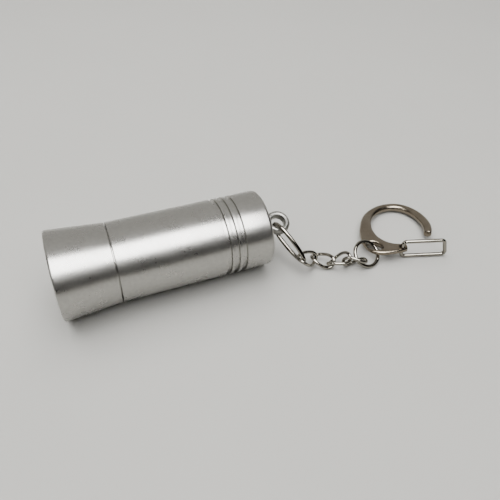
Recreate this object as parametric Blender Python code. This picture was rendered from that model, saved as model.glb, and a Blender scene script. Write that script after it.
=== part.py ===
"""Keychain flashlight: a turned aluminium torch with its key chain, swivel ring and key clasp.

The torch lies on its side, head towards -X and tail towards +X. Turned pieces are drawn
in the torch's own axis frame, with x = 0 at the front rim and the radius as the second
value. The chain is drawn in a bench frame: its x runs the same way, its z = 0 is the
surface the torch lies on, and the last function moves the whole object so that the
middle of its footprint is the origin.
"""

import math

import bmesh
import bpy
from mathutils import Matrix, Vector

MM = 0.001
GAP = 0.3 * MM              # clearance between neighbouring solids
SIDES = 32                  # facets of the large turned pieces
SMALL_SIDES = 16            # facets of small turned pieces
BARREL_LENGTH = 60.0 * MM
HEAD_RADIUS = 12.65 * MM
BARREL_RADIUS = 11.3 * MM
SEAM_X = 15.83 * MM         # joint line between head and barrel
TAIL_WALL = 2.8 * MM
AXIS_TILT = math.asin((HEAD_RADIUS - BARREL_RADIUS) / BARREL_LENGTH)

# head, front to back
LIP = 1.0 * MM
LIP_RADIUS = 9.8 * MM
HEAD_BORE = 10.2 * MM
LENS_FRONT = 2.2 * MM
LENS_THICKNESS = 1.3 * MM
REFLECTOR_FRONT = 3.8 * MM
REFLECTOR_BACK = 9.4 * MM
PILL_FRONT = 9.7 * MM
PILL_FLANGE = 1.0 * MM
PILL_BACK = 15.4 * MM
PILL_RADIUS = 8.3 * MM
CHIP_BOARD = 0.8 * MM       # thickness of the board that carries the emitter

# barrel, front to back
NECK_FRONT = 11.3 * MM
NECK_RADIUS = 9.85 * MM
BORE_RADIUS = 8.75 * MM
SEAL_X = 14.5 * MM
SEAL_WIRE = 0.4 * MM        # radius of the seal's section
GROOVE_START = 45.6 * MM
GROOVE_WIDTH = 1.4 * MM
GROOVE_PITCH = 2.31 * MM
GROOVE_DEPTH = 0.7 * MM
GROOVE_COUNT = 3
TAIL_INNER = BARREL_LENGTH - TAIL_WALL

# battery, one lithium cell 17 mm across and 34.5 mm long
CELL_FRONT = 18.9 * MM
CELL_LENGTH = 34.5 * MM
CELL_RADIUS = 8.45 * MM
SLEEVE_WALL = 0.25 * MM
NUB_RADIUS = 3.2 * MM
NUB_HEIGHT = 0.8 * MM

# tail eye
EYE_X = 65.6 * MM
EYE_RADIUS = 2.85 * MM      # to the middle of the ring's section
EYE_WALL = 0.95 * MM        # half the section across the ring
EYE_DEPTH = 1.45 * MM       # half the section along the hole
EYE_LEAN = math.radians(22) # hole axis, from straight up towards -Y
SHANK_RADIUS = 1.5 * MM
NUT_FLATS = 5.5 * MM

# wire pieces, radii of the wire and middle-line sizes
LONG_WIRE = 0.65 * MM
LONG_SEAT = (1.11 * MM, math.radians(-162.5))   # its bend inside the eye: radius, angle
LONG_TIP = Vector((69.57, -11.49, 3.99)) * MM
LONG_WIDTH = (7.4 * MM, 3.5 * MM)   # at the eye, at the chain
LONG_TWIST = (math.radians(17), math.radians(1))
LINK_WIRE = 0.52 * MM
LINK_LENGTH = 7.1 * MM
LINK_WIDTH = 4.3 * MM
LINK_TWIST = math.radians(40)
LINK_PLACES = (             # middle in mm on the bench, then heading, dip and roll in degrees
    (71.33, -10.87, 3.75, 10.4, 22.6, 35.7),
    (76.34, -11.41, 2.04, -40.2, 6.8, 13.0),
    (80.66, -13.7, 2.6, -13.8, -20.3, -13.0),
    (85.02, -15.81, 2.56, -16.3, 0.4, -56.9),
)
JUMP_WIRE = 0.58 * MM
JUMP_RADIUS = 4.0 * MM
JUMP_CENTRE = Vector((89.83, -14.69, 2.88)) * MM
JUMP_NORMAL = Vector((0.113, -0.551, 0.827))
JUMP_START = math.radians(-60)      # place of the slit
JUMP_SLIT = math.radians(3)

# clasp, drawn in its own plane: angle in degrees, inner radius, outer radius, thickness
CLASP_CENTRE = Vector((106.35, -6.7, 2.37)) * MM
CLASP_HEADING = math.radians(-43.5)
CLASP_TILT = math.radians(4.9)      # about the gate's own direction
CLASP_OUTLINE = (
    (-3, 8.7, 11.1, 2.4),
    (20, 8.45, 11.35, 2.6),
    (45, 8.6, 11.55, 2.6),
    (65, 9.1, 11.95, 2.6),
    (95, 9.8, 12.55, 2.6),
    (130, 9.2, 11.9, 2.6),
    (160, 8.5, 11.5, 2.6),
    (197, 8.4, 12.0, 2.6),
    (222, 9.0, 13.9, 2.4),
    (238, 9.5, 16.0, 2.1),
    (251, 9.8, 17.2, 2.0),
    (262, 10.0, 16.6, 1.9),
    (274, 10.0, 14.7, 1.9),
    (285, 9.8, 13.3, 1.8),
    (295, 9.9, 12.3, 1.8),
)
CLASP_STEPS = 60
CLASP_HOLE = (-4.75 * MM, -13.9 * MM)
CLASP_HOLE_SEMI = (2.7 * MM, 1.9 * MM)
PIVOT = (3.4 * MM, -11.3 * MM)
PIVOT_HOLE = 0.85 * MM
GATE_WIRE = 0.62 * MM
GATE_LENGTH = (14.15 * MM, 13.35 * MM)  # of the lower and the upper leg
GATE_WIDTH = 5.5 * MM
GATE_HEADING = math.radians(26)
GATE_CORNER = 1.3 * MM


def clear_scene():
    for obj in list(bpy.data.objects):
        bpy.data.objects.remove(obj, do_unlink=True)


def material(name, color, roughness, metallic):
    mat = bpy.data.materials.new(name)
    mat.use_nodes = True
    shader = mat.node_tree.nodes["Principled BSDF"]
    shader.inputs["Base Color"].default_value = (*color, 1.0)
    shader.inputs["Roughness"].default_value = roughness
    shader.inputs["Metallic"].default_value = metallic
    return mat


def empty(name, parent=None, matrix=None):
    obj = bpy.data.objects.new(name, None)
    bpy.context.collection.objects.link(obj)
    obj.empty_display_size = 3 * MM
    obj.parent = parent
    obj.matrix_local = matrix or Matrix.Identity(4)
    return obj


def add_object(name, data, parent, mat):
    obj = bpy.data.objects.new(name, data)
    bpy.context.collection.objects.link(obj)
    obj.parent = parent
    data.materials.append(mat)
    return obj


def finish_mesh(mesh, bm):
    """Writes bm to mesh with outward normals and smooth shading split at sharp edges."""
    bmesh.ops.remove_doubles(bm, verts=bm.verts, dist=1e-7)
    bmesh.ops.dissolve_degenerate(bm, edges=bm.edges, dist=1e-7)
    bmesh.ops.recalc_face_normals(bm, faces=bm.faces)
    if bm.calc_volume(signed=True) < 0:
        bmesh.ops.reverse_faces(bm, faces=bm.faces)
    bm.to_mesh(mesh)
    bm.free()
    mesh.shade_smooth()
    mesh.set_sharp_from_angle(angle=math.radians(35))


def turned(name, profile, parent, mat, sides=SIDES):
    """Solid of revolution about local X. profile is a closed outline of (x, radius).

    The facets' middles, and not their corners, lie at the stated radii, and one facet
    faces straight down, so that the torch lies on flats.
    """
    grow = 1.0 / math.cos(math.pi / sides)
    start = Matrix.Rotation(math.pi / sides, 4, "X")
    bm = bmesh.new()
    verts = [bm.verts.new(start @ Vector((x, 0, r * grow))) for x, r in profile]
    edges = [bm.edges.new((verts[i - 1], verts[i])) for i in range(len(verts))
             if profile[i - 1][1] > 0 or profile[i][1] > 0]
    bmesh.ops.spin(bm, geom=verts + edges, cent=(0, 0, 0), axis=(1, 0, 0),
                   angle=2 * math.pi, steps=sides, use_merge=True)
    mesh = bpy.data.meshes.new(name)
    finish_mesh(mesh, bm)
    return add_object(name, mesh, parent, mat)


def wire(name, points, radius, parent, mat, closed=True, sides=8):
    """A round wire along points, as a curve with a bevel."""
    curve = bpy.data.curves.new(name, "CURVE")
    curve.dimensions = "3D"
    curve.bevel_depth = radius
    curve.bevel_resolution = sides // 2 - 2
    curve.use_fill_caps = not closed
    spline = curve.splines.new("POLY")
    spline.points.add(len(points) - 1)
    for point, place in zip(spline.points, points):
        point.co = (*place, 1.0)
    spline.use_cyclic_u = closed
    return add_object(name, curve, parent, mat)


def cut(obj, cutter, operation="DIFFERENCE"):
    """Applies a Boolean to obj and removes the cutter."""
    modifier = obj.modifiers.new("cut", "BOOLEAN")
    modifier.object = cutter
    modifier.operation = operation
    modifier.solver = "EXACT"
    graph = bpy.context.evaluated_depsgraph_get()
    mesh = bpy.data.meshes.new_from_object(obj.evaluated_get(graph))
    obj.modifiers.clear()
    obj.data = mesh
    mesh.shade_smooth()
    mesh.set_sharp_from_angle(angle=math.radians(35))
    bpy.data.objects.remove(cutter, do_unlink=True)


def lerp(a, b, t):
    return a + (b - a) * t


def arc(centre, radius, start, end, steps):
    """Points of a circular arc in the (x, radius) plane, angles in degrees."""
    points = []
    for i in range(steps + 1):
        angle = math.radians(lerp(start, end, i / steps))
        points.append((centre[0] + radius * math.cos(angle),
                       centre[1] + radius * math.sin(angle)))
    return points


def ring_profile(x, radius, wire_radius, steps=8):
    """Round section of a ring, as a closed outline."""
    return arc((x, radius), wire_radius, 0, 360 - 360 / steps, steps - 1)


def tube_profile(x0, x1, inner, outer):
    return [(x0, inner), (x0, outer), (x1, outer), (x1, inner)]


def disc_profile(x0, x1, radius):
    return [(x0, 0), (x0, radius), (x1, radius), (x1, 0)]


def coil(name, x0, x1, radius0, radius1, wire_radius, turns, parent, mat):
    """Compression spring about local X, with its end turns lying flat."""
    steps_per_turn = 14
    steps = int(turns * steps_per_turn)
    points = []
    for i in range(steps + 1):
        t = i / steps
        lift = min(max((t * turns - 0.6) / (turns - 1.2), 0.0), 1.0)
        angle = 2 * math.pi * t * turns
        radius = lerp(radius0, radius1, t)
        points.append((lerp(x0 + wire_radius, x1 - wire_radius, lift),
                       radius * math.cos(angle), radius * math.sin(angle)))
    return wire(name, points, wire_radius, parent, mat, closed=False, sides=6)


def build_head(parent, mats):
    head_back = SEAM_X - GAP / 2
    rim = 0.45 * MM
    turned("head_shell", [
        (0, LIP_RADIUS + rim), (0, HEAD_RADIUS - rim), (rim, HEAD_RADIUS),
        (3 * MM, lerp(HEAD_RADIUS, BARREL_RADIUS, 0.19)),
        (head_back, BARREL_RADIUS), (head_back, HEAD_BORE),
        (LIP, HEAD_BORE), (LIP, LIP_RADIUS), (rim, LIP_RADIUS),
    ], parent, mats["satin_aluminium"])
    lens_back = LENS_FRONT + LENS_THICKNESS
    turned("lens_seal", ring_profile(LENS_FRONT - GAP - SEAL_WIRE, 9.4 * MM, SEAL_WIRE),
           parent, mats["rubber"])
    turned("front_lens", disc_profile(LENS_FRONT, lens_back, HEAD_BORE - GAP),
           parent, mats["lens_glass"])
    build_reflector(parent, mats["reflector"])
    build_pill(parent, mats)


def build_reflector(parent, mat):
    """Parabolic cup with a rim behind the lens and a hole round the emitter."""
    mouth, throat, wall, steps = 8.9 * MM, 2.3 * MM, 0.5 * MM, 7
    depth = REFLECTOR_BACK - REFLECTOR_FRONT
    inner = []
    for i in range(steps + 1):
        radius = lerp(mouth, throat, i / steps)
        slope = (mouth ** 2 - radius ** 2) / (mouth ** 2 - throat ** 2)
        inner.append((REFLECTOR_FRONT + depth * slope, radius))
    outer_rim = HEAD_BORE - GAP
    profile = [(REFLECTOR_FRONT, outer_rim), (REFLECTOR_FRONT + 1.0 * MM, outer_rim)]
    for x, radius in inner[1:-1]:
        profile.append((x + 0.2 * MM, radius + wall + 0.3 * MM))
    profile += [(REFLECTOR_BACK, throat + wall)]
    profile = profile[::-1] + inner[:1]
    profile += inner[1:]
    turned("reflector", profile, parent, mat)


def build_pill(parent, mats):
    """Brass module that carries the emitter board in front and the driver behind."""
    shelf = 13.0 * MM
    flange_back = PILL_FRONT + PILL_FLANGE
    turned("light_pill", [
        (PILL_FRONT, 0), (PILL_FRONT, HEAD_BORE - GAP), (flange_back, HEAD_BORE - GAP),
        (flange_back, PILL_RADIUS), (PILL_BACK, PILL_RADIUS), (PILL_BACK, 7.6 * MM),
        (shelf, 7.6 * MM), (shelf, 0),
    ], parent, mats["brass"])
    turned("driver_board", disc_profile(shelf + GAP, shelf + GAP + 1.0 * MM, 7.2 * MM),
           parent, mats["circuit_board"])
    coil("driver_spring", shelf + 1.6 * MM, CELL_FRONT - GAP, 3.4 * MM, 2.2 * MM,
         0.3 * MM, 3.5, parent, mats["spring_steel"])
    board_front = PILL_FRONT - GAP - CHIP_BOARD
    # the board and the emitter stand inside the reflector's throat, so they're small
    turned("emitter_board", disc_profile(board_front, board_front + CHIP_BOARD, 1.95 * MM),
           parent, mats["circuit_board"], SMALL_SIDES)
    dome = arc((board_front - GAP, 0), 1.15 * MM, 180, 90, 5)
    turned("led_emitter", dome + [(board_front - GAP, 0)],
           parent, mats["led"], SMALL_SIDES)


def build_barrel(parent, mats):
    shoulder = SEAM_X + GAP / 2
    seat = BARREL_LENGTH - 1.0 * MM
    groove = 1.3 * MM
    outline = [
        (NECK_FRONT, BORE_RADIUS), (NECK_FRONT, NECK_RADIUS - 0.3 * MM),
        (NECK_FRONT + 0.3 * MM, NECK_RADIUS),
        (SEAL_X - groove / 2, NECK_RADIUS), (SEAL_X - groove / 2, NECK_RADIUS - 0.6 * MM),
        (SEAL_X + groove / 2, NECK_RADIUS - 0.6 * MM), (SEAL_X + groove / 2, NECK_RADIUS),
        (shoulder, NECK_RADIUS), (shoulder, BARREL_RADIUS),
    ]
    for i in range(GROOVE_COUNT):
        start = GROOVE_START + i * GROOVE_PITCH
        floor = BARREL_RADIUS - GROOVE_DEPTH
        outline += [(start, BARREL_RADIUS), (start + 0.1 * MM, floor),
                    (start + GROOVE_WIDTH - 0.1 * MM, floor),
                    (start + GROOVE_WIDTH, BARREL_RADIUS)]
    outline += arc((seat, BARREL_RADIUS - 1.0 * MM), 1.0 * MM, 90, 0, 3)
    hole = SHANK_RADIUS + GAP
    outline += [(BARREL_LENGTH, hole), (TAIL_INNER, hole), (TAIL_INNER, BORE_RADIUS)]
    turned("barrel_tube", outline, parent, mats["satin_aluminium"])
    turned("neck_seal", ring_profile(SEAL_X, NECK_RADIUS - 0.6 * MM + 0.1 * MM + SEAL_WIRE,
                                     SEAL_WIRE), parent, mats["rubber"])
    coil("tail_spring", CELL_FRONT + CELL_LENGTH + GAP, TAIL_INNER - GAP, 6.2 * MM, 6.2 * MM,
         0.35 * MM, 3.2, parent, mats["spring_steel"])
    build_eye(parent, mats)


def build_eye(parent, mats):
    """Eye with its threaded shank through the tail wall, held by a washer and nut."""
    washer_back = TAIL_INNER - GAP
    washer_front = washer_back - 0.5 * MM
    nut_back = washer_front - GAP
    nut_front = nut_back - 1.7 * MM
    turned("eye_washer", tube_profile(washer_front, washer_back, SHANK_RADIUS + GAP, 3.5 * MM),
           parent, mats["nickel"], SMALL_SIDES)
    turned("eye_nut", tube_profile(nut_front, nut_back, SHANK_RADIUS + GAP, NUT_FLATS / 2),
           parent, mats["nickel"], 6)
    collar = BARREL_LENGTH + GAP
    neck_end = EYE_X - EYE_RADIUS
    shank = turned("tail_eye", [
        (nut_front - 0.1 * MM, 0), (nut_front - 0.1 * MM, SHANK_RADIUS),
        (collar, SHANK_RADIUS), (collar, 2.6 * MM), (collar + 0.6 * MM, 2.6 * MM),
        (collar + 1.1 * MM, 1.5 * MM), (neck_end, 1.2 * MM), (neck_end, 0),
    ], parent, mats["eye_metal"], SMALL_SIDES)
    section = []
    for i in range(12):
        c, s = math.cos(math.pi * i / 6), math.sin(math.pi * i / 6)
        power = 2 if c > 0 else 3
        section.append((EYE_DEPTH * math.copysign(abs(s) ** (2 / power), s),
                        EYE_RADIUS + EYE_WALL * math.copysign(abs(c) ** (2 / power), c)))
    ring = turned("eye_ring", section, parent, mats["eye_metal"], 28)
    ring.matrix_local = eye_matrix()
    bpy.context.view_layer.update()
    cut(shank, ring, "UNION")


def eye_matrix():
    """The ring is turned about local X, which is stood up along the eye's hole."""
    lean = Matrix.Rotation(EYE_LEAN, 4, "X")
    return Matrix.Translation((EYE_X, 0, 0)) @ lean @ Matrix.Rotation(-math.pi / 2, 4, "Y")


def build_battery(parent, mats):
    front, back = CELL_FRONT, CELL_FRONT + CELL_LENGTH
    body = front + NUB_HEIGHT + GAP
    inner = CELL_RADIUS - SLEEVE_WALL
    turned("battery_sleeve", tube_profile(body + 0.3 * MM, back - 0.3 * MM, inner, CELL_RADIUS),
           parent, mats["battery_wrap"])
    turned("battery_can", [
        (body, 0), (body, inner - GAP - 0.8 * MM), (body + 0.8 * MM, inner - GAP),
        (back - 0.5 * MM, inner - GAP), (back, inner - GAP - 0.5 * MM), (back, 0),
    ], parent, mats["battery_steel"])
    turned("battery_terminal", [
        (front, 0), (front, NUB_RADIUS - 0.2 * MM), (front + 0.2 * MM, NUB_RADIUS),
        (front + NUB_HEIGHT, NUB_RADIUS), (front + NUB_HEIGHT, 0),
    ], parent, mats["battery_steel"], SMALL_SIDES)


def loop_points(length, widths, twists, steps=24, power=2.4):
    """Middle line of a twisted oval link along local X, from its first end at x = 0."""
    points = []
    for i in range(steps):
        angle = 2 * math.pi * i / steps
        c, s = math.cos(angle), math.sin(angle)
        x = math.copysign(abs(c) ** (2 / power), c)
        y = math.copysign(abs(s) ** (2 / power), s)
        t = (x + 1) / 2
        half = lerp(widths[0], widths[1], t) / 2
        twist = lerp(twists[0], twists[1], t)
        points.append(Vector((length * t, y * half * math.cos(twist),
                              y * half * math.sin(twist))))
    return points


def frame_from(origin, x_axis, y_hint):
    """Matrix with local X along x_axis and local Y as near y_hint as it can be."""
    x_axis = x_axis.normalized()
    z_axis = x_axis.cross(y_hint).normalized()
    y_axis = z_axis.cross(x_axis)
    matrix = Matrix((x_axis, y_axis, z_axis)).transposed().to_4x4()
    matrix.translation = origin
    return matrix


def seat_point(axis_frame):
    """Middle of the long link's bend inside the eye's hole, in the bench frame."""
    radius, angle = LONG_SEAT
    place = Vector((radius * math.cos(angle), radius * math.sin(angle), 0))
    return axis_frame @ (Vector((EYE_X, 0, 0)) + Matrix.Rotation(EYE_LEAN, 3, "X") @ place)


def build_chain(bench, axis_frame, mats):
    start = seat_point(axis_frame)
    along = (LONG_TIP - start).normalized()
    matrix = frame_from(start, along, Vector((0, 0, 1)))
    long_frame = empty("long_link_pivot", bench, matrix)
    points = loop_points((LONG_TIP - start).length, LONG_WIDTH, LONG_TWIST, 32)
    wire("long_link", points, LONG_WIRE, long_frame, mats["nickel"])
    widths = (LINK_WIDTH, LINK_WIDTH)
    back = Matrix.Translation((-LINK_LENGTH / 2, 0, 0))
    for i, (x, y, z, heading, dip, roll) in enumerate(LINK_PLACES):
        turn = (Matrix.Rotation(math.radians(heading), 4, "Z")
                @ Matrix.Rotation(math.radians(dip), 4, "Y")
                @ Matrix.Rotation(math.radians(roll), 4, "X"))
        matrix = Matrix.Translation(Vector((x, y, z)) * MM) @ turn @ back
        link_frame = empty(f"chain_link_{i + 1}_pivot", bench, matrix)
        points = loop_points(LINK_LENGTH, widths, (-LINK_TWIST, LINK_TWIST))
        wire(f"chain_link_{i + 1}", points, LINK_WIRE, link_frame, mats["nickel"])
    build_jump_ring(bench, mats)


def build_jump_ring(bench, mats):
    """Ring of one turn of wire, open by a narrow slit."""
    normal = JUMP_NORMAL.normalized()
    side = normal.cross(Vector((0, 0, 1))).normalized()
    matrix = frame_from(JUMP_CENTRE, side, normal.cross(side))
    ring_frame = empty("jump_ring_pivot", bench, matrix)
    steps = 30
    points = []
    for i in range(steps + 1):
        angle = JUMP_START + lerp(JUMP_SLIT, 2 * math.pi - JUMP_SLIT, i / steps)
        points.append(Vector((JUMP_RADIUS * math.cos(angle), JUMP_RADIUS * math.sin(angle), 0)))
    wire("jump_ring", points, JUMP_WIRE, ring_frame, mats["nickel"], closed=False)


def clasp_matrix():
    """Local X and Y span the clasp's plane; Y points away from the pivot side."""
    heading = Matrix.Rotation(CLASP_HEADING, 4, "Z")
    gate_line = Vector((math.cos(GATE_HEADING), math.sin(GATE_HEADING), 0))
    tilt = Matrix.Rotation(-CLASP_TILT, 4, gate_line)
    return Matrix.Translation(CLASP_CENTRE) @ heading @ tilt


def clasp_at(t):
    """(angle, inner, outer, thickness) along the clasp, smoothly between its keys."""
    place = t * (len(CLASP_OUTLINE) - 1)
    index = min(int(place), len(CLASP_OUTLINE) - 2)
    u = place - index
    rows = [CLASP_OUTLINE[min(max(index + k, 0), len(CLASP_OUTLINE) - 1)] for k in (-1, 0, 1, 2)]
    return tuple(0.5 * (2 * b + (c - a) * u + (2 * a - 5 * b + 4 * c - d) * u ** 2
                        + (3 * b - a - 3 * c + d) * u ** 3) for a, b, c, d in zip(*rows))


def clasp_section(t, shrink, sides=12, power=2.8):
    """Rounded section across the clasp at t, drawn in towards its middle by shrink."""
    degrees, inner, outer, thickness = clasp_at(t)
    angle = math.radians(degrees)
    middle, half = (inner + outer) / 2 * MM, (outer - inner) / 2 * MM * shrink
    points = []
    for i in range(sides):
        turn = 2 * math.pi * (i + 0.5) / sides
        c, s = math.cos(turn), math.sin(turn)
        radius = middle + half * math.copysign(abs(c) ** (2 / power), c)
        height = thickness / 2 * MM * shrink * math.copysign(abs(s) ** (2 / power), s)
        points.append(Vector((radius * math.cos(angle), radius * math.sin(angle), height)))
    return points


def build_clasp(bench, mats):
    frame = empty("clasp_pivot", bench, clasp_matrix())
    bm = bmesh.new()
    rings = []
    for i in range(CLASP_STEPS + 1):
        t = i / CLASP_STEPS
        end = min(t, 1 - t) * CLASP_STEPS
        shrink = {0: 0.45, 1: 0.85}.get(int(end + 0.5), 1.0)
        rings.append([bm.verts.new(p) for p in clasp_section(t, shrink)])
    for first, second in zip(rings, rings[1:]):
        for j in range(len(first)):
            bm.faces.new((first[j - 1], first[j], second[j], second[j - 1]))
    bm.faces.new(rings[0])
    bm.faces.new(rings[-1][::-1])
    mesh = bpy.data.meshes.new("clasp")
    finish_mesh(mesh, bm)
    clasp = add_object("clasp", mesh, frame, mats["nickel"])
    bpy.context.view_layer.update()
    cut(clasp, oval_cutter(CLASP_HOLE, CLASP_HOLE_SEMI, frame, mats["nickel"]))
    cut(clasp, oval_cutter(PIVOT, (PIVOT_HOLE, PIVOT_HOLE), frame, mats["nickel"]))
    pivot = empty("gate_pivot", frame, Matrix.Translation((*PIVOT, 0))
                  @ Matrix.Rotation(GATE_HEADING, 4, "Z"))
    wire("gate", gate_points(), GATE_WIRE, pivot, mats["nickel"])


def oval_cutter(centre, semi, parent, mat, sides=20):
    bm = bmesh.new()
    bmesh.ops.create_cone(bm, cap_ends=True, segments=sides, radius1=1, radius2=1, depth=1)
    bmesh.ops.scale(bm, vec=(*semi, 10 * MM), verts=bm.verts)
    bmesh.ops.translate(bm, vec=(*centre, 0), verts=bm.verts)
    mesh = bpy.data.meshes.new("cutter")
    finish_mesh(mesh, bm)
    cutter = add_object("cutter", mesh, parent, mat)
    cutter.hide_render = True
    cutter.display_type = "WIRE"
    bpy.context.view_layer.update()
    return cutter


def gate_points():
    """Wire loop with round corners in local XZ, its near side on the hinge axis."""
    half, corner, steps = GATE_WIDTH / 2, GATE_CORNER, 4
    lower, upper = GATE_LENGTH
    points = []
    for x, z, start in ((upper - corner, half - corner, 0), (corner, half - corner, 90),
                        (corner, corner - half, 180), (lower - corner, corner - half, 270)):
        for i in range(steps + 1):
            angle = math.radians(start + 90 * i / steps)
            points.append(Vector((x + corner * math.cos(angle), 0, z + corner * math.sin(angle))))
    return points


def stand_on_origin(root):
    """Moves the whole object so that the middle of its footprint is at the origin."""
    bpy.context.view_layer.update()
    graph = bpy.context.evaluated_depsgraph_get()
    low, high = Vector((1e9,) * 3), Vector((-1e9,) * 3)
    for obj in bpy.context.scene.objects:
        if obj.type == "EMPTY" or obj.hide_render:
            continue
        evaluated = obj.evaluated_get(graph)
        mesh = evaluated.to_mesh()
        for vert in mesh.vertices:
            place = evaluated.matrix_world @ vert.co
            low = Vector(map(min, low, place))
            high = Vector(map(max, high, place))
        evaluated.to_mesh_clear()
    root.location -= Vector(((low.x + high.x) / 2, (low.y + high.y) / 2, low.z))
    bpy.context.view_layer.update()


def main():
    clear_scene()
    mats = {
        "satin_aluminium": material("satin_aluminium", (0.62, 0.62, 0.61), 0.38, 1.0),
        "eye_metal": material("eye_metal", (0.42, 0.41, 0.39), 0.3, 1.0),
        "nickel": material("nickel", (0.55, 0.52, 0.47), 0.2, 1.0),
        "brass": material("brass", (0.72, 0.55, 0.28), 0.35, 1.0),
        "spring_steel": material("spring_steel", (0.7, 0.68, 0.62), 0.25, 1.0),
        "reflector": material("reflector", (0.9, 0.9, 0.9), 0.05, 1.0),
        "lens_glass": material("lens_glass", (0.9, 0.93, 0.95), 0.03, 0.0),
        "rubber": material("rubber", (0.02, 0.02, 0.02), 0.7, 0.0),
        "circuit_board": material("circuit_board", (0.03, 0.16, 0.07), 0.45, 0.0),
        "led": material("led", (0.95, 0.8, 0.25), 0.2, 0.0),
        "battery_wrap": material("battery_wrap", (0.05, 0.12, 0.4), 0.35, 0.0),
        "battery_steel": material("battery_steel", (0.7, 0.7, 0.7), 0.3, 1.0),
    }
    root = empty("flashlight_root")
    axis_frame = Matrix.Translation((0, 0, HEAD_RADIUS * math.cos(AXIS_TILT))) @ Matrix.Rotation(
        AXIS_TILT, 4, "Y")
    torch = empty("torch_axis", root, axis_frame)
    head = empty("head_axis", torch)
    battery = empty("battery_axis", torch)
    build_head(head, mats)
    build_battery(battery, mats)
    build_barrel(torch, mats)
    build_chain(root, axis_frame, mats)
    build_clasp(root, mats)
    stand_on_origin(root)


main()
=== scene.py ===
"""Looks of the keychain flashlight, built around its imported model."""

import math

import bmesh
import bpy
from mathutils import Matrix, Vector


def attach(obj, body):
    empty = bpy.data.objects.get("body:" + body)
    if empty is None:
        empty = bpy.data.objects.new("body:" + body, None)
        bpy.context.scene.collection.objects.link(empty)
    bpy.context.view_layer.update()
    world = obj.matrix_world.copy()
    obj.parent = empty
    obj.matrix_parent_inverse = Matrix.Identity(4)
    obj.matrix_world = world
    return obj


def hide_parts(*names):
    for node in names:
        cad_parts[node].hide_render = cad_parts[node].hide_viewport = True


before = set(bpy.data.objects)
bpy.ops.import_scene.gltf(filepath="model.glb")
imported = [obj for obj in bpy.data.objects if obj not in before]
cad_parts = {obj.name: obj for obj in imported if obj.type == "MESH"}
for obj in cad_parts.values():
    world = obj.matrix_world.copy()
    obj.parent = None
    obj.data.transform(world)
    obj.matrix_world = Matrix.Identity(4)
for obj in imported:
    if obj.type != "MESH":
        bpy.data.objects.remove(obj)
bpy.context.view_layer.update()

MM = 0.001
SHIFT = Vector((-58.803, 4.760, 0.010)) * MM     # bench frame to row frame
SIDES = 192
GAP = 0.3 * MM

# sizes shared with the solids
BARREL_LENGTH = 60.0 * MM
HEAD_RADIUS = 12.65 * MM
BARREL_RADIUS = 11.3 * MM
SEAM_X = 15.83 * MM
TAIL_WALL = 2.8 * MM
AXIS_TILT = math.asin((HEAD_RADIUS - BARREL_RADIUS) / BARREL_LENGTH)
LIP = 1.0 * MM
LIP_RADIUS = 9.8 * MM
HEAD_BORE = 10.2 * MM
LENS_FRONT = 2.2 * MM
LENS_THICKNESS = 1.3 * MM
LENS_SEAL_RADIUS = 9.4 * MM
REFLECTOR_FRONT = 3.8 * MM
REFLECTOR_BACK = 9.4 * MM
PILL_FRONT = 9.7 * MM
PILL_FLANGE = 1.0 * MM
PILL_BACK = 15.4 * MM
PILL_RADIUS = 8.3 * MM
PILL_BORE = 7.6 * MM
DRIVER_RADIUS = 7.2 * MM
DRIVER_THICKNESS = 1.0 * MM
SHELF = 13.0 * MM
CHIP_BOARD = 0.8 * MM
NECK_FRONT = 11.3 * MM
NECK_RADIUS = 9.85 * MM
BORE_RADIUS = 8.75 * MM
SEAL_X = 14.5 * MM
SEAL_WIRE = 0.4 * MM
SEAL_GROOVE = 1.3 * MM
THREAD_PITCH = 1.0 * MM
THREAD_DEPTH = 0.5 * MM
GROOVE_START = 45.6 * MM
GROOVE_WIDTH = 1.4 * MM
GROOVE_PITCH = 2.31 * MM
GROOVE_DEPTH = 0.7 * MM
GROOVE_COUNT = 3
TAIL_INNER = BARREL_LENGTH - TAIL_WALL
CELL_FRONT = 18.9 * MM
CELL_LENGTH = 34.5 * MM
CELL_RADIUS = 8.45 * MM
SLEEVE_WALL = 0.25 * MM
NUB_RADIUS = 3.2 * MM
NUB_HEIGHT = 0.8 * MM
EYE_X = 65.6 * MM
EYE_RADIUS = 2.85 * MM
EYE_WALL = 0.95 * MM
EYE_DEPTH = 1.45 * MM
EYE_LEAN = math.radians(22)
SHANK_RADIUS = 1.5 * MM
NUT_FLATS = 5.5 * MM
# The places and turns of the long link, the small links and the ring were found by
# a search and pasted in. No rule gives them. They equal the solids'.
LONG_WIRE = 0.65 * MM
LONG_SEAT = (1.11 * MM, math.radians(-162.5))
LONG_TIP = Vector((69.57, -11.49, 3.99)) * MM
LONG_WIDTH = (7.4 * MM, 3.5 * MM)
LONG_TWIST = (math.radians(17), math.radians(1))
LINK_WIRE = 0.52 * MM
LINK_LENGTH = 7.1 * MM
LINK_WIDTH = 4.3 * MM
LINK_TWIST = math.radians(40)
LINK_PLACES = (     # middle in mm on the bench, then heading, dip and roll in degrees
    (71.33, -10.87, 3.75, 10.4, 22.6, 35.7),
    (76.34, -11.41, 2.04, -40.2, 6.8, 13.0),
    (80.66, -13.7, 2.6, -13.8, -20.3, -13.0),
    (85.02, -15.81, 2.56, -16.3, 0.4, -56.9),
)
JUMP_WIRE = 0.58 * MM
JUMP_RADIUS = 4.0 * MM
JUMP_CENTRE = Vector((89.83, -14.69, 2.88)) * MM
JUMP_NORMAL = Vector((0.113, -0.551, 0.827))
JUMP_START = math.radians(-60)
JUMP_SLIT = math.radians(2)
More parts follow.
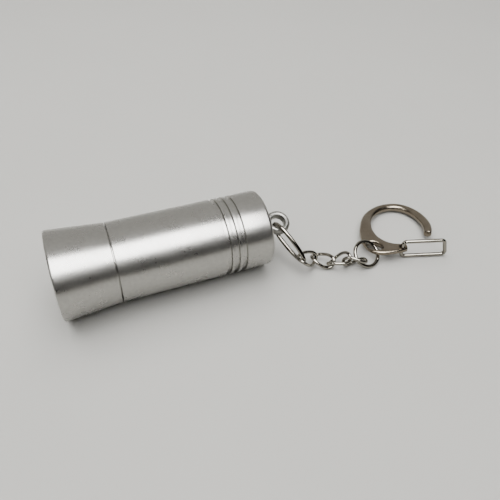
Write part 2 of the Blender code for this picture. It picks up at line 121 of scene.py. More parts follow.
# The clasp's rows were projected by a scratch program and then adjusted by hand.
CLASP_CENTRE = Vector((106.35, -6.7, 2.37)) * MM
CLASP_HEADING = math.radians(-43.5)
CLASP_TILT = math.radians(4.9)
CLASP_OUTLINE = (   # angle in degrees, inner radius, outer radius, thickness
    (-3, 8.7, 11.1, 2.4),
    (20, 8.45, 11.35, 2.6),
    (45, 8.6, 11.55, 2.6),
    (65, 9.1, 11.95, 2.6),
    (95, 9.8, 12.55, 2.6),
    (130, 9.2, 11.9, 2.6),
    (160, 8.5, 11.5, 2.6),
    (197, 8.4, 12.0, 2.6),
    (222, 9.0, 13.9, 2.4),
    (238, 9.5, 16.0, 2.1),
    (251, 9.8, 17.2, 2.0),
    (262, 10.0, 16.6, 1.9),
    (274, 10.0, 14.7, 1.9),
    (285, 9.8, 13.3, 1.8),
    (295, 9.9, 12.3, 1.8),
)
CLASP_STEPS = 300
CLASP_HOLE = (-4.75 * MM, -13.9 * MM)
CLASP_HOLE_SEMI = (2.7 * MM, 1.9 * MM)
PIVOT = (3.4 * MM, -11.3 * MM)
PIVOT_HOLE = 0.85 * MM
GATE_WIRE = 0.62 * MM
GATE_LENGTH = (14.15 * MM, 13.35 * MM)
GATE_WIDTH = 5.5 * MM
GATE_HEADING = math.radians(26)
GATE_CORNER = 1.3 * MM

# The camera's values come from a fit made by a scratch program.
CAMERA_LENS = 36.95
CAMERA_PLACE = Vector((12.25, -105.94, 114.01)) * MM
CAMERA_AHEAD = Vector((0.2783, 0.6623, -0.6956))
CAMERA_RIGHT = Vector((0.9274, -0.3738, 0.0151))

BENCH = Matrix.Translation(SHIFT)
TORCH = (BENCH @ Matrix.Translation((0, 0, HEAD_RADIUS * math.cos(AXIS_TILT)))
         @ Matrix.Rotation(AXIS_TILT, 4, "Y"))


# ---- materials ----

class Shader:
    """A Principled material with short calls for its procedural inputs."""

    def __init__(self, name, color, roughness, metallic=0.0, **fixed):
        self.mat = bpy.data.materials.new(name)
        self.mat.use_nodes = True
        self.tree = self.mat.node_tree
        self.main = self.tree.nodes["Principled BSDF"]
        self.main.inputs["Base Color"].default_value = (*color, 1)
        self.main.inputs["Roughness"].default_value = roughness
        self.main.inputs["Metallic"].default_value = metallic
        for key, value in fixed.items():
            self.main.inputs[key.replace("_", " ")].default_value = value
        self.coords = self.tree.nodes.new("ShaderNodeTexCoord").outputs["Object"]

    def link(self, source, target):
        self.tree.links.new(source, target)

    def noise(self, scale, detail=3.0, stretch=(1, 1, 1), roughness=0.55):
        mapping = self.tree.nodes.new("ShaderNodeMapping")
        mapping.inputs["Scale"].default_value = stretch
        self.link(self.coords, mapping.inputs["Vector"])
        node = self.tree.nodes.new("ShaderNodeTexNoise")
        node.inputs["Scale"].default_value = scale
        node.inputs["Detail"].default_value = detail
        node.inputs["Roughness"].default_value = roughness
        self.link(mapping.outputs["Vector"], node.inputs["Vector"])
        return node.outputs["Fac"]

    def spread(self, value, low, high, start=0.3, end=0.7):
        node = self.tree.nodes.new("ShaderNodeMapRange")
        node.inputs["From Min"].default_value = start
        node.inputs["From Max"].default_value = end
        node.inputs["To Min"].default_value = low
        node.inputs["To Max"].default_value = high
        self.link(value, node.inputs["Value"])
        return node.outputs["Result"]

    def tint(self, value, first, second, start=0.3, end=0.7):
        node = self.tree.nodes.new("ShaderNodeValToRGB")
        node.color_ramp.elements[0].position = start
        node.color_ramp.elements[0].color = (*first, 1)
        node.color_ramp.elements[1].position = end
        node.color_ramp.elements[1].color = (*second, 1)
        self.link(value, node.inputs["Fac"])
        self.link(node.outputs["Color"], self.main.inputs["Base Color"])

    def rough(self, value, low, high, start=0.3, end=0.7):
        self.link(self.spread(value, low, high, start, end), self.main.inputs["Roughness"])

    def bump(self, heights):
        """heights: (value, strength, distance) from the broadest to the finest."""
        normal = None
        for value, strength, distance in heights:
            node = self.tree.nodes.new("ShaderNodeBump")
            node.inputs["Strength"].default_value = strength
            node.inputs["Distance"].default_value = distance
            self.link(value, node.inputs["Height"])
            if normal:
                self.link(normal, node.inputs["Normal"])
            normal = node.outputs["Normal"]
        self.link(normal, self.main.inputs["Normal"])


def satin_aluminium():
    """Satin metal: a soft speckle over faint turning lines."""
    s = Shader("satin_aluminium", (0.38, 0.375, 0.36), 0.3, 1.0)
    s.tint(s.noise(1100, 2, roughness=0.5), (0.35, 0.343, 0.323), (0.388, 0.38, 0.358))
    s.rough(s.noise(160, 3), 0.26, 0.3)
    s.bump([(s.noise(700, 2, (1.0, 0.05, 0.05)), 0.03, 0.00001)])
    return s.mat


def nickel(name, low, high, rough_low, rough_high):
    """Plated wire or casting: faint waviness, handling marks and dull patches."""
    s = Shader(name, high, rough_low, 1.0)
    s.tint(s.noise(260, 4), low, high)
    s.rough(s.noise(900, 3), rough_low, rough_high)
    s.bump([(s.noise(300, 2), 0.12, 0.00005), (s.noise(5000, 2), 0.08, 0.00001)])
    return s.mat


def turned_metal(name, low, high, rough):
    s = Shader(name, high, rough, 1.0)
    s.tint(s.noise(500, 3), low, high)
    s.rough(s.noise(1500, 2, (1, 0.05, 0.05)), rough - 0.06, rough + 0.08)
    s.bump([(s.noise(2600, 2, (1, 0.03, 0.03)), 0.25, 0.00002)])
    return s.mat


def rubber():
    s = Shader("rubber", (0.018, 0.018, 0.019), 0.6)
    s.tint(s.noise(900, 3), (0.012, 0.012, 0.013), (0.03, 0.03, 0.03))
    s.rough(s.noise(1400, 3), 0.5, 0.72)
    s.bump([(s.noise(4000, 3), 0.3, 0.00002)])
    return s.mat


def lens_glass():
    s = Shader("lens_glass", (0.96, 0.98, 1.0), 0.02, Transmission_Weight=1.0, IOR=1.5)
    s.rough(s.noise(300, 3), 0.01, 0.05)
    return s.mat


def reflector_mirror():
    """Metallised plastic with the soft dimples of an orange-peel reflector."""
    s = Shader("reflector", (0.9, 0.9, 0.9), 0.06, 1.0)
    s.tint(s.noise(250, 2), (0.84, 0.85, 0.86), (0.93, 0.93, 0.93))
    s.bump([(s.noise(1500, 1), 0.35, 0.00005)])
    return s.mat


def circuit_board():
    s = Shader("circuit_board", (0.02, 0.12, 0.05), 0.4, Coat_Weight=0.3)
    s.tint(s.noise(1800, 2), (0.015, 0.10, 0.04), (0.03, 0.17, 0.07))
    s.bump([(s.noise(2600, 2), 0.15, 0.00002)])
    return s.mat


def led_dome():
    s = Shader("led", (0.93, 0.74, 0.16), 0.18, Coat_Weight=0.6, Subsurface_Weight=0.2)
    s.main.inputs["Subsurface Radius"].default_value = (0.001, 0.0008, 0.0003)
    s.tint(s.noise(2500, 3), (0.88, 0.66, 0.10), (0.97, 0.82, 0.24))
    return s.mat


def battery_wrap():
    s = Shader("battery_wrap", (0.02, 0.06, 0.26), 0.3, Coat_Weight=0.4)
    s.tint(s.noise(300, 3), (0.016, 0.05, 0.22), (0.03, 0.08, 0.33))
    s.rough(s.noise(800, 3), 0.24, 0.4)
    s.bump([(s.noise(500, 2), 0.12, 0.00004)])
    return s.mat


def white_ceramic():
    s = Shader("white_ceramic", (0.85, 0.85, 0.82), 0.45)
    s.tint(s.noise(2000, 2), (0.8, 0.8, 0.77), (0.9, 0.9, 0.87))
    return s.mat


MATS = {
    "satin_aluminium": satin_aluminium(),
    "eye_metal": nickel("eye_metal", (0.2, 0.195, 0.18), (0.3, 0.295, 0.275), 0.34, 0.46),
    "nickel": nickel("nickel", (0.21, 0.197, 0.168), (0.29, 0.275, 0.24), 0.06, 0.12),
    "clasp_nickel": nickel("clasp_nickel", (0.17, 0.142, 0.106), (0.22, 0.19, 0.15), 0.18, 0.27),
    "brass": turned_metal("brass", (0.62, 0.45, 0.2), (0.78, 0.6, 0.3), 0.3),
    "spring_steel": turned_metal("spring_steel", (0.5, 0.48, 0.43), (0.7, 0.67, 0.6), 0.25),
    "reflector": reflector_mirror(),
    "lens_glass": lens_glass(),
    "rubber": rubber(),
    "circuit_board": circuit_board(),
    "led": led_dome(),
    "battery_wrap": battery_wrap(),
    "battery_steel": turned_metal("battery_steel", (0.55, 0.55, 0.54), (0.72, 0.72, 0.7), 0.28),
    "white_ceramic": white_ceramic(),
}


# ---- mesh helpers ----

def lerp(a, b, t):
    return a + (b - a) * t


def fillet(corners, steps=6):
    """Outline with rounded corners. Each corner is (x, r) or (x, r, radius)."""
    points = []
    for i, corner in enumerate(corners):
        here = Vector(corner[:2])
        if len(corner) < 3:
            points.append(tuple(here))
            continue
        back = (Vector(corners[i - 1][:2]) - here).normalized()
        on = (Vector(corners[(i + 1) % len(corners)][:2]) - here).normalized()
        half = back.angle(on) / 2
        reach = corner[2] / math.tan(half)
        centre = here + (back + on).normalized() * (corner[2] / math.sin(half))
        first = here + back * reach - centre
        last = here + on * reach - centre
        for k in range(steps + 1):
            ray = first.lerp(last, k / steps).normalized() * corner[2]
            points.append(tuple(centre + ray))
    return points


def smooth(mesh, degrees=38):
    mesh.shade_smooth()
    mesh.set_sharp_from_angle(angle=math.radians(degrees))


def close_up(bm, name):
    bmesh.ops.remove_doubles(bm, verts=bm.verts, dist=1e-7)
    bmesh.ops.recalc_face_normals(bm, faces=bm.faces)
    mesh = bpy.data.meshes.new(name)
    bm.to_mesh(mesh)
    bm.free()
    smooth(mesh)
    return mesh


def lathe(bm, profile, sides=SIDES, matrix=None):
    """Adds a closed outline of (x, radius), turned about local X."""
    rings = []
    for x, r in profile:
        count = 1 if r < 1e-7 else sides
        rings.append([bm.verts.new(Vector((x, r * math.cos(2 * math.pi * k / sides),
                                           r * math.sin(2 * math.pi * k / sides))))
                      for k in range(count)])
    made = [v for ring in rings for v in ring]
    for first, second in zip(rings, rings[1:] + rings[:1]):
        if len(first) == 1 and len(second) == 1:
            continue
        for k in range(sides):
            a, b = first[k % len(first)], first[(k + 1) % len(first)]
            c, d = second[(k + 1) % len(second)], second[k % len(second)]
            corners = list(dict.fromkeys((a, b, c, d)))
            if len(corners) > 2:
                bm.faces.new(corners)
    if matrix:
        bmesh.ops.transform(bm, matrix=matrix, verts=made)


def box(bm, centre, size, bevel=0.05 * MM):
    made = bmesh.ops.create_cube(bm, size=1)["verts"]
    bmesh.ops.scale(bm, vec=size, verts=made)
    bmesh.ops.translate(bm, vec=centre, verts=made)
    edges = list({edge for vert in made for edge in vert.link_edges})
    bmesh.ops.bevel(bm, geom=edges, offset=bevel, segments=2, affect="EDGES", profile=0.5)


def piece(name, data, matrix, body, slot, node=None, look=None):
    """Puts a mesh or curve on its body, in place of its CAD node."""
    obj = bpy.data.objects.new(name, data)
    bpy.context.collection.objects.link(obj)
    obj.matrix_world = matrix
    data.materials.clear()
    data.materials.append(MATS[look or slot])
    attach(obj, body)
    if node:
        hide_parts(node)
    return obj


def ring_profile(x, radius, wire, steps=24):
    turns = (2 * math.pi * k / steps for k in range(steps))
    return [(x + wire * math.cos(a), radius + wire * math.sin(a)) for a in turns]


def turned(name, profile, body, slot, node, sides=SIDES):
    bm = bmesh.new()
    lathe(bm, profile, sides)
    return piece(name, close_up(bm, name), TORCH, body, slot, node)


def tube_along(points, radius, closed, name, sides=20):
    """Mesh of a round wire along points, capped flat where it is open."""
    count = len(points)
    bm = bmesh.new()
    rings = []
    side = None
    for i, here in enumerate(points):
        ahead = points[(i + 1) % count] if closed or i < count - 1 else here
        behind = points[i - 1] if closed or i else here
        along = (ahead - behind).normalized()
        if side is None:
            side = along.orthogonal().normalized()
        side = (side - along * side.dot(along)).normalized()
        up = along.cross(side)
        rings.append((here, along, side, up))
    if closed:
        # spreads the leftover twist so that the last ring meets the first
        here, along, first_side, up = rings[0]
        last = rings[-1][2]
        last = (last - along * last.dot(along)).normalized()
        twist = math.atan2(last.dot(up), last.dot(first_side))
    loops = []
    for i, (here, along, side, up) in enumerate(rings):
        turn = -twist * i / (count - 1) if closed else 0.0
        loops.append([bm.verts.new(here + radius * (
            side * math.cos(2 * math.pi * k / sides + turn)
            + up * math.sin(2 * math.pi * k / sides + turn))) for k in range(sides)])
    pairs = list(zip(loops, loops[1:]))
    if closed:
        pairs.append((loops[-1], loops[0]))
    for a, b in pairs:
        for k in range(sides):
            bm.faces.new((a[k - 1], a[k], b[k], b[k - 1]))
    if not closed:
        bm.faces.new(loops[0])
        bm.faces.new(loops[-1][::-1])
    return close_up(bm, name)


def coil_points(x0, x1, radius0, radius1, wire_radius, turns, per_turn=40):
    """Middle line of a compression spring with flat end turns."""
    steps = int(turns * per_turn)
    points = []
    for i in range(steps + 1):
        t = i / steps
        lift = min(max((t * turns - 0.6) / (turns - 1.2), 0.0), 1.0)
        angle = 2 * math.pi * t * turns
        radius = lerp(radius0, radius1, t)
        points.append(Vector((lerp(x0 + wire_radius, x1 - wire_radius, lift),
                              radius * math.cos(angle), radius * math.sin(angle))))
    return points


# ---- torch ----

def build_head():
    body = "head"
    back = SEAM_X - GAP / 2
    turned("head_shell_fine", fillet([
        (0, LIP_RADIUS + 0.1 * MM, 0.35 * MM), (0, HEAD_RADIUS, 0.55 * MM),
        (3 * MM, lerp(HEAD_RADIUS, BARREL_RADIUS, 0.19), 40 * MM),
        (back, BARREL_RADIUS, 0.18 * MM), (back, HEAD_BORE, 0.15 * MM),
        (LIP, HEAD_BORE), (LIP, LIP_RADIUS + 0.1 * MM),
    ], 10), body, "satin_aluminium", "head_shell")
    seal_x = LENS_FRONT - GAP - SEAL_WIRE
    turned("lens_seal_fine", ring_profile(seal_x, LENS_SEAL_RADIUS, SEAL_WIRE), body,
           "rubber", "lens_seal")
    turned("front_lens_fine", fillet([
        (LENS_FRONT, 0), (LENS_FRONT, HEAD_BORE - GAP, 0.25 * MM),
        (LENS_FRONT + LENS_THICKNESS, HEAD_BORE - GAP, 0.25 * MM),
        (LENS_FRONT + LENS_THICKNESS, 0)]), body, "lens_glass", "front_lens")
    build_reflector(body)
    flange_back = PILL_FRONT + PILL_FLANGE
    edge = 0.2 * MM
    turned("light_pill_fine", fillet([
        (PILL_FRONT, 0), (PILL_FRONT, HEAD_BORE - GAP, edge), (flange_back, HEAD_BORE - GAP, edge),
        (flange_back, PILL_RADIUS), (PILL_BACK, PILL_RADIUS, edge), (PILL_BACK, PILL_BORE, edge),
        (SHELF, PILL_BORE), (SHELF, 0)]), body, "brass", "light_pill")
    build_boards(body)


def build_reflector(body):
    mouth, throat, wall = 8.9 * MM, 2.3 * MM, 0.5 * MM
    steps = 40
    depth = REFLECTOR_BACK - REFLECTOR_FRONT
    inner = []
    for i in range(steps + 1):
        radius = lerp(mouth, throat, i / steps)
        slope = (mouth ** 2 - radius ** 2) / (mouth ** 2 - throat ** 2)
        inner.append((REFLECTOR_FRONT + depth * slope, radius))
    rim = HEAD_BORE - GAP
    outer = [(REFLECTOR_FRONT, rim), (REFLECTOR_FRONT + 1.0 * MM, rim)]
    outer += [(x + 0.2 * MM, r + wall + 0.3 * MM) for x, r in inner[6:-4]]
    outer.append((REFLECTOR_BACK, throat + wall))
    turned("reflector_fine", outer[::-1] + inner, body, "reflector", "reflector")


def build_boards(body):
    board_front = PILL_FRONT - GAP - CHIP_BOARD
    bm = bmesh.new()
    lathe(bm, fillet([(board_front, 0), (board_front, 1.95 * MM, 0.08 * MM),
                      (board_front + CHIP_BOARD, 1.95 * MM), (board_front + CHIP_BOARD, 0)]), 96)
    piece("emitter_board_fine", close_up(bm, "emitter_board_fine"), TORCH, body,
          "circuit_board", "emitter_board", "white_ceramic")
    dome_x = board_front - GAP
    dome = [(dome_x - 1.15 * MM * math.cos(a), 1.15 * MM * math.sin(a))
            for a in (math.pi / 2 * k / 20 for k in range(21))]
    bm = bmesh.new()
    lathe(bm, dome + [(dome_x, 0)], 96)
    piece("led_emitter_fine", close_up(bm, "led_emitter_fine"), TORCH, body, "led", "led_emitter")
    bm = bmesh.new()
    x0 = SHELF + GAP
    lathe(bm, fillet([(x0, 0), (x0, DRIVER_RADIUS), (x0 + DRIVER_THICKNESS, DRIVER_RADIUS, 0.08 * MM),
                      (x0 + DRIVER_THICKNESS, 0)]), 128)
    piece("driver_board_fine", close_up(bm, "driver_board_fine"), TORCH, body,
          "circuit_board", "driver_board")
    chips = bmesh.new()
    for y, z, w, h in ((5.1, 1.5, 1.6, 3.0), (-5.0, 1.8, 1.2, 2.0), (-4.8, -1.9, 1.0, 1.6),
                       (4.6, -2.4, 1.2, 1.6), (0.2, 5.4, 2.6, 1.3), (0.6, -5.5, 2.0, 1.0)):
        box(chips, (x0 + 1.2 * MM, y * MM, z * MM), (0.5 * MM, w * MM, h * MM))
    piece("driver_chips", close_up(chips, "driver_chips"), TORCH, body, "circuit_board",
          look="rubber")
    points = coil_points(SHELF + 1.6 * MM, CELL_FRONT - GAP, 3.4 * MM, 2.2 * MM, 0.3 * MM, 3.5)
    piece("driver_spring_fine", tube_along(points, 0.3 * MM, False, "driver_spring_fine", 14),
          TORCH, body, "spring_steel", "driver_spring")


def build_barrel():
    body = "barrel"
    shoulder = SEAM_X + GAP / 2
    seal_front, seal_back = SEAL_X - SEAL_GROOVE / 2, SEAL_X + SEAL_GROOVE / 2
    outline = [
        (NECK_FRONT, BORE_RADIUS, 0.1 * MM), (NECK_FRONT, NECK_RADIUS - THREAD_DEPTH, 0.1 * MM),
        (seal_front - 0.3 * MM, NECK_RADIUS - THREAD_DEPTH), (seal_front - 0.1 * MM, NECK_RADIUS),
        (seal_front, NECK_RADIUS), (seal_front, NECK_RADIUS - 0.6 * MM),
        (seal_back, NECK_RADIUS - 0.6 * MM), (seal_back, NECK_RADIUS),
        (shoulder, NECK_RADIUS), (shoulder, BARREL_RADIUS, 0.18 * MM),
    ]
    floor = BARREL_RADIUS - GROOVE_DEPTH
    for i in range(GROOVE_COUNT):
        start = GROOVE_START + i * GROOVE_PITCH
        outline += [(start, BARREL_RADIUS, 0.06 * MM), (start + 0.05 * MM, floor, 0.1 * MM),
                    (start + GROOVE_WIDTH - 0.1 * MM, floor, 0.2 * MM),
                    (start + GROOVE_WIDTH, BARREL_RADIUS, 0.1 * MM)]
    hole = SHANK_RADIUS + GAP
    outline += [(BARREL_LENGTH, BARREL_RADIUS, 1.0 * MM), (BARREL_LENGTH, hole, 0.15 * MM),
                (TAIL_INNER, hole), (TAIL_INNER, BORE_RADIUS, 0.4 * MM)]
    turned("barrel_tube_fine", fillet(outline, 8), body, "satin_aluminium", "barrel_tube")
    build_thread(body, seal_front - 0.35 * MM)
    ring = NECK_RADIUS - THREAD_DEPTH + SEAL_WIRE
    turned("neck_seal_fine", ring_profile(SEAL_X, ring, SEAL_WIRE), body,
           "rubber", "neck_seal")
    points = coil_points(CELL_FRONT + CELL_LENGTH + GAP, TAIL_INNER - GAP, 6.2 * MM, 6.2 * MM,
                         0.35 * MM, 3.2)
    piece("tail_spring_fine", tube_along(points, 0.35 * MM, False, "tail_spring_fine", 14),
          TORCH, body, "spring_steel", "tail_spring")


def build_thread(body, end):
    """Helical ridges on the barrel's neck, fading in at the front and out at the seal."""
    start = NECK_FRONT + 0.15 * MM
    root, crest = NECK_RADIUS - THREAD_DEPTH, NECK_RADIUS
    steps, sides = 70, SIDES
    bm = bmesh.new()
    rings = []
    for i in range(steps + 1):
        x = lerp(start, end, i / steps)
        fade = min(1.0, i / 8, (steps - i) / 8)
        ring = []
        for k in range(sides):
            angle = 2 * math.pi * k / sides
            wave = abs(((x / THREAD_PITCH - k / sides) % 1.0) * 2 - 1)
            rise = min(max(wave * 1.5 - 0.25, 0.0), 1.0) * fade
            r = lerp(root - 0.02 * MM, crest, rise)
            ring.append(bm.verts.new((x, r * math.cos(angle), r * math.sin(angle))))
        rings.append(ring)
    inner = []
    for x in (end, start):
        inner.append([bm.verts.new((x, (root - 0.3 * MM) * math.cos(2 * math.pi * k / sides),
                                    (root - 0.3 * MM) * math.sin(2 * math.pi * k / sides)))
                      for k in range(sides)])
    rings += inner
    for a, b in zip(rings, rings[1:] + rings[:1]):
        for k in range(sides):
            bm.faces.new((a[k - 1], a[k], b[k], b[k - 1]))
    piece("neck_thread", close_up(bm, "neck_thread"), TORCH, body, "satin_aluminium")


def build_eye():
    body = "barrel"
    washer_back = TAIL_INNER - GAP
    washer_front = washer_back - 0.5 * MM
    nut_back = washer_front - GAP
    nut_front = nut_back - 1.7 * MM
    inner = SHANK_RADIUS + GAP
    turned("eye_washer_fine", fillet([
        (washer_front, inner), (washer_front, 3.5 * MM, 0.1 * MM),
        (washer_back, 3.5 * MM, 0.1 * MM), (washer_back, inner)]), body, "nickel", "eye_washer", 96)
    bm = bmesh.new()
    grow = 1 / math.cos(math.pi / 6)
    lathe(bm, [(nut_front, inner), (nut_front, NUT_FLATS / 2 * 0.98 * grow),
               (nut_front + 0.15 * MM, NUT_FLATS / 2 * grow),
               (nut_back - 0.15 * MM, NUT_FLATS / 2 * grow),
               (nut_back, NUT_FLATS / 2 * 0.98 * grow), (nut_back, inner)], 6)
    mesh = close_up(bm, "eye_nut_fine")
    mesh.shade_flat()
    piece("eye_nut_fine", mesh, TORCH, body, "nickel", "eye_nut")
    collar = BARREL_LENGTH + GAP
    neck_end = EYE_X - EYE_RADIUS
    bm = bmesh.new()
    lathe(bm, fillet([
        (nut_front - 0.1 * MM, 0), (nut_front - 0.1 * MM, SHANK_RADIUS, 0.15 * MM),
        (collar, SHANK_RADIUS), (collar, 2.6 * MM, 0.15 * MM), (collar + 0.6 * MM, 2.6 * MM, 0.3 * MM),
        (collar + 1.1 * MM, 1.5 * MM, 0.4 * MM), (neck_end, 1.2 * MM), (neck_end, 0)]), 96)
    lean = Matrix.Rotation(EYE_LEAN, 4, "X")
    stand = Matrix.Translation((EYE_X, 0, 0)) @ lean @ Matrix.Rotation(-math.pi / 2, 4, "Y")
    section = []
    for k in range(48):
        c, s = math.cos(2 * math.pi * k / 48), math.sin(2 * math.pi * k / 48)
        power = 2 if c > 0 else 3
        section.append((EYE_DEPTH * math.copysign(abs(s) ** (2 / power), s),
                        EYE_RADIUS + EYE_WALL * math.copysign(abs(c) ** (2 / power), c)))
    lathe(bm, section, 96, stand)
    piece("tail_eye_fine", close_up(bm, "tail_eye_fine"), TORCH, body, "eye_metal", "tail_eye")


def build_battery():
    body = "battery"
    front, back = CELL_FRONT, CELL_FRONT + CELL_LENGTH
    start = front + NUB_HEIGHT + GAP
    inner = CELL_RADIUS - SLEEVE_WALL
    turned("battery_sleeve_fine", fillet([
        (start + 0.3 * MM, inner), (start + 0.3 * MM, CELL_RADIUS, 0.1 * MM),
        (back - 0.3 * MM, CELL_RADIUS, 0.1 * MM), (back - 0.3 * MM, inner)]),
        body, "battery_wrap", "battery_sleeve")
    turned("battery_can_fine", fillet([
        (start, 0), (start, inner - GAP, 0.7 * MM), (back, inner - GAP, 0.5 * MM), (back, 0)]),
        body, "battery_steel", "battery_can")
    turned("battery_terminal_fine", fillet([
        (front, 0), (front, NUB_RADIUS, 0.2 * MM), (front + NUB_HEIGHT, NUB_RADIUS),
        (front + NUB_HEIGHT, 0)]), body, "battery_steel", "battery_terminal", 96)


# ---- chain and clasp ----

def loop_points(length, widths, twists, steps=96, power=2.4, slit=0.0):
    """Middle line of a twisted oval link along local X. A slit opens one long side."""
    points = []
    for i in range(steps):
        angle = math.pi / 2 + slit + (2 * math.pi - 2 * slit) * i / (steps - (1 if slit else 0))
        c, s = math.cos(angle), math.sin(angle)
        x = math.copysign(abs(c) ** (2 / power), c)
        y = math.copysign(abs(s) ** (2 / power), s)
        t = (x + 1) / 2
        half = lerp(widths[0], widths[1], t) / 2
        twist = lerp(twists[0], twists[1], t)
        points.append(Vector((length * t, y * half * math.cos(twist),
                              y * half * math.sin(twist))))
    return points


def frame_from(origin, x_axis, y_hint):
    x_axis = x_axis.normalized()
    z_axis = x_axis.cross(y_hint).normalized()
    y_axis = z_axis.cross(x_axis)
    matrix = Matrix((x_axis, y_axis, z_axis)).transposed().to_4x4()
    matrix.translation = origin
    return matrix


def build_chain():
    radius, angle = LONG_SEAT
    place = Vector((radius * math.cos(angle), radius * math.sin(angle), 0))
    torch = BENCH.inverted() @ TORCH
    start = torch @ (Vector((EYE_X, 0, 0)) + Matrix.Rotation(EYE_LEAN, 3, "X") @ place)
    matrix = BENCH @ frame_from(start, LONG_TIP - start, Vector((0, 0, 1)))
    points = loop_points((LONG_TIP - start).length, LONG_WIDTH, LONG_TWIST, 140)
    piece("long_link_fine", tube_along(points, LONG_WIRE, True, "long_link_fine"),
          matrix, "long_link_body", "nickel", "long_link")
    slit = 0.004
    for i, (x, y, z, heading, dip, roll) in enumerate(LINK_PLACES):
        turn = (Matrix.Rotation(math.radians(heading), 4, "Z")
                @ Matrix.Rotation(math.radians(dip), 4, "Y")
                @ Matrix.Rotation(math.radians(roll), 4, "X"))
        matrix = (BENCH @ Matrix.Translation(Vector((x, y, z)) * MM) @ turn
                  @ Matrix.Translation((-LINK_LENGTH / 2, 0, 0)))
        points = loop_points(LINK_LENGTH, (LINK_WIDTH, LINK_WIDTH), (-LINK_TWIST, LINK_TWIST),
                             slit=slit)
        name = f"chain_link_{i + 1}"
        piece(name + "_fine", tube_along(points, LINK_WIRE, False, name + "_fine"),
              matrix, name + "_body", "nickel", name)
    normal = JUMP_NORMAL.normalized()
    side = normal.cross(Vector((0, 0, 1))).normalized()
    matrix = BENCH @ frame_from(JUMP_CENTRE, side, normal.cross(side))
    points = []
    for i in range(161):
        angle = JUMP_START + lerp(JUMP_SLIT, 2 * math.pi - JUMP_SLIT, i / 160)
        points.append(Vector((JUMP_RADIUS * math.cos(angle), JUMP_RADIUS * math.sin(angle), 0)))
    piece("jump_ring_fine", tube_along(points, JUMP_WIRE, False, "jump_ring_fine"),
          matrix, "jump_ring_body", "nickel", "jump_ring")


def clasp_at(t):
    place = t * (len(CLASP_OUTLINE) - 1)
    index = min(int(place), len(CLASP_OUTLINE) - 2)
    u = place - index
    rows = [CLASP_OUTLINE[min(max(index + k, 0), len(CLASP_OUTLINE) - 1)] for k in (-1, 0, 1, 2)]
    return tuple(0.5 * (2 * b + (c - a) * u + (2 * a - 5 * b + 4 * c - d) * u ** 2
                        + (3 * b - a - 3 * c + d) * u ** 3) for a, b, c, d in zip(*rows))


def clasp_section(t, shrink, sides=44):
    degrees, inner, outer, thickness = clasp_at(t)
    angle = math.radians(degrees)
    power = lerp(2.15, 3.0, min(max((degrees - 150) / 80, 0), 1))
    middle, half = (inner + outer) / 2 * MM, (outer - inner) / 2 * MM * shrink
    points = []
    for i in range(sides):
        turn = 2 * math.pi * (i + 0.5) / sides
        c, s = math.cos(turn), math.sin(turn)
        radius = middle + half * math.copysign(abs(c) ** (2 / power), c)
        height = thickness / 2 * MM * shrink * math.copysign(abs(s) ** (2 / power), s)
        points.append(Vector((radius * math.cos(angle), radius * math.sin(angle), height)))
    return points


def flared_cutter(centre, semi, depth, sides=72):
    """Oval cutter whose ends widen, so that the hole's edges come out rounded."""
    bm = bmesh.new()
    rings = []
    for z, flare in ((-3.0, 2.3), (-depth - 0.05, 0.42), (-depth + 0.12, 0.14), (-depth + 0.4, 0.0),
                     (depth - 0.4, 0.0), (depth - 0.12, 0.14), (depth + 0.05, 0.42), (3.0, 2.3)):
        rings.append([bm.verts.new((
            centre[0] + (semi[0] + flare * MM) * math.cos(2 * math.pi * k / sides),
            centre[1] + (semi[1] + flare * MM) * math.sin(2 * math.pi * k / sides),
            z * MM)) for k in range(sides)])
    for a, b in zip(rings, rings[1:]):
        for k in range(sides):
            bm.faces.new((a[k - 1], a[k], b[k], b[k - 1]))
    bm.faces.new(rings[0])
    bm.faces.new(rings[-1])
    obj = bpy.data.objects.new("cutter", close_up(bm, "cutter"))
    bpy.context.collection.objects.link(obj)
    return obj


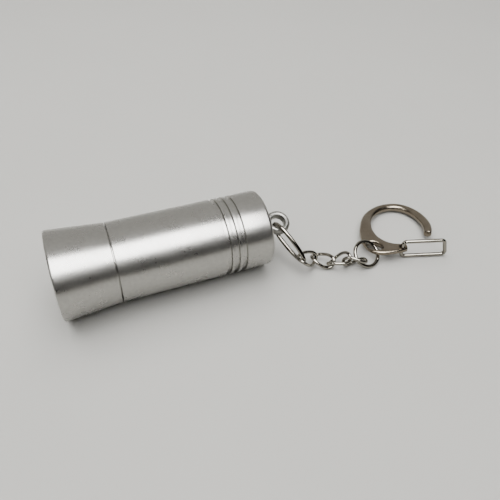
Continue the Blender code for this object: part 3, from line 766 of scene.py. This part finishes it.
def build_clasp():
    gate_line = Vector((math.cos(GATE_HEADING), math.sin(GATE_HEADING), 0))
    matrix = (BENCH @ Matrix.Translation(CLASP_CENTRE) @ Matrix.Rotation(CLASP_HEADING, 4, "Z")
              @ Matrix.Rotation(-CLASP_TILT, 4, gate_line))
    bm = bmesh.new()
    rings = []
    for i in range(CLASP_STEPS + 1):
        t = i / CLASP_STEPS
        end = min(min(t, 1 - t) * CLASP_STEPS / 4, 1.0)
        shrink = 0.6 + 0.4 * math.sqrt(1 - (1 - end) ** 2)
        rings.append([bm.verts.new(p) for p in clasp_section(t, shrink)])
    for first, second in zip(rings, rings[1:]):
        for j in range(len(first)):
            bm.faces.new((first[j - 1], first[j], second[j], second[j - 1]))
    bm.faces.new(rings[0])
    bm.faces.new(rings[-1][::-1])
    clasp = bpy.data.objects.new("clasp_blank", close_up(bm, "clasp_blank"))
    bpy.context.collection.objects.link(clasp)
    cutters = [flared_cutter(CLASP_HOLE, CLASP_HOLE_SEMI, 1.0),
               flared_cutter(PIVOT, (PIVOT_HOLE, PIVOT_HOLE), 0.9)]
    for cutter in cutters:
        modifier = clasp.modifiers.new("cut", "BOOLEAN")
        modifier.object = cutter
        modifier.solver = "EXACT"
    graph = bpy.context.evaluated_depsgraph_get()
    mesh = bpy.data.meshes.new_from_object(clasp.evaluated_get(graph))
    for helper in [clasp] + cutters:
        bpy.data.objects.remove(helper, do_unlink=True)
    smooth(mesh, 50)
    piece("clasp_fine", mesh, matrix, "clasp_body", "nickel", "clasp", "clasp_nickel")
    half, corner, steps = GATE_WIDTH / 2, GATE_CORNER, 14
    lower, upper = GATE_LENGTH
    points = []
    for x, z, start in ((upper - corner, half - corner, 0), (corner, half - corner, 90),
                        (corner, corner - half, 180), (lower - corner, corner - half, 270)):
        for i in range(steps + 1):
            angle = math.radians(start + 90 * i / steps)
            points.append(Vector((x + corner * math.cos(angle), 0, z + corner * math.sin(angle))))
    pivot = matrix @ Matrix.Translation((*PIVOT, 0)) @ Matrix.Rotation(GATE_HEADING, 4, "Z")
    piece("gate_fine", tube_along(points, GATE_WIRE, True, "gate_fine"),
          pivot, "gate_body", "nickel", "gate")


# ---- camera, floor and light ----

def build_camera():
    data = bpy.data.cameras.new("camera")
    data.lens = CAMERA_LENS
    data.sensor_width = 36
    camera = bpy.data.objects.new("camera", data)
    bpy.context.collection.objects.link(camera)
    ahead = CAMERA_AHEAD.normalized()
    right = (CAMERA_RIGHT - ahead * CAMERA_RIGHT.dot(ahead)).normalized()
    turn = Matrix((right, right.cross(ahead), -ahead)).transposed().to_4x4()
    camera.matrix_world = Matrix.Translation(SHIFT + CAMERA_PLACE) @ turn
    data.clip_start = 0.005
    bpy.context.scene.camera = camera


def area(name, place, aim, size, energy):
    data = bpy.data.lights.new(name, "AREA")
    data.shape = "RECTANGLE"
    data.size, data.size_y = size
    data.energy = energy
    obj = bpy.data.objects.new(name, data)
    bpy.context.collection.objects.link(obj)
    obj.location = place
    obj.rotation_euler = (Vector(aim) - Vector(place)).to_track_quat("-Z", "Y").to_euler()
    return obj


def build_stage():
    bm = bmesh.new()
    bmesh.ops.create_grid(bm, x_segments=2, y_segments=2, size=4)
    mesh = bpy.data.meshes.new("floor")
    bm.to_mesh(mesh)
    bm.free()
    floor = bpy.data.objects.new("floor", mesh)
    bpy.context.collection.objects.link(floor)
    s = Shader("floor", (0.27, 0.266, 0.249), 0.8)
    s.tint(s.noise(18, 2), (0.267, 0.263, 0.246), (0.273, 0.269, 0.252))
    mesh.materials.append(s.mat)
    # two lights are seen only in reflections, and two light only the surfaces
    softbox = area("softbox", (0.02, -0.27, 0.62), (0, 0, 0.01), (0.5, 0.46), 12.5)
    window = area("side_window", (-0.62, -0.30, 0.56), (0, 0, 0.01), (0.12, 0.3), 1.6)
    for light in (softbox, window):
        light.visible_diffuse = False
    ceiling = area("ceiling", (-0.05, 0.20, 0.6), (0, 0, 0), (0.8, 0.6), 10.0)
    key = area("key", (-0.05, -0.20, 0.6), (0, 0, 0), (0.8, 0.6), 8.5)
    for light in (ceiling, key):
        light.visible_glossy = False
    # the reflected backdrop darkens towards -Y, and the camera sees a plain pale one
    world = bpy.data.worlds.new("world")
    bpy.context.scene.world = world
    world.use_nodes = True
    tree = world.node_tree
    back = tree.nodes["Background"]
    coords = tree.nodes.new("ShaderNodeTexCoord")
    dot = tree.nodes.new("ShaderNodeVectorMath")
    dot.operation = "DOT_PRODUCT"
    dot.inputs[1].default_value = (0, 1, 0)
    ramp = tree.nodes.new("ShaderNodeValToRGB")
    ramp.color_ramp.elements[0].position = 0.0
    ramp.color_ramp.elements[0].color = (0.012, 0.01, 0.01, 1)
    ramp.color_ramp.elements[1].position = 0.35
    ramp.color_ramp.elements[1].color = (0.7, 0.69, 0.66, 1)
    tree.links.new(coords.outputs["Generated"], dot.inputs[0])
    tree.links.new(dot.outputs["Value"], ramp.inputs["Fac"])
    path = tree.nodes.new("ShaderNodeLightPath")
    mix = tree.nodes.new("ShaderNodeMixRGB")
    mix.inputs["Color2"].default_value = (0.95, 0.94, 0.91, 1)
    tree.links.new(path.outputs["Is Camera Ray"], mix.inputs["Fac"])
    tree.links.new(ramp.outputs["Color"], mix.inputs["Color1"])
    tree.links.new(mix.outputs["Color"], back.inputs["Color"])


build_camera()
build_stage()
build_head()
build_barrel()
build_eye()
build_battery()
build_chain()
build_clasp()

bpy.context.view_layer.update()
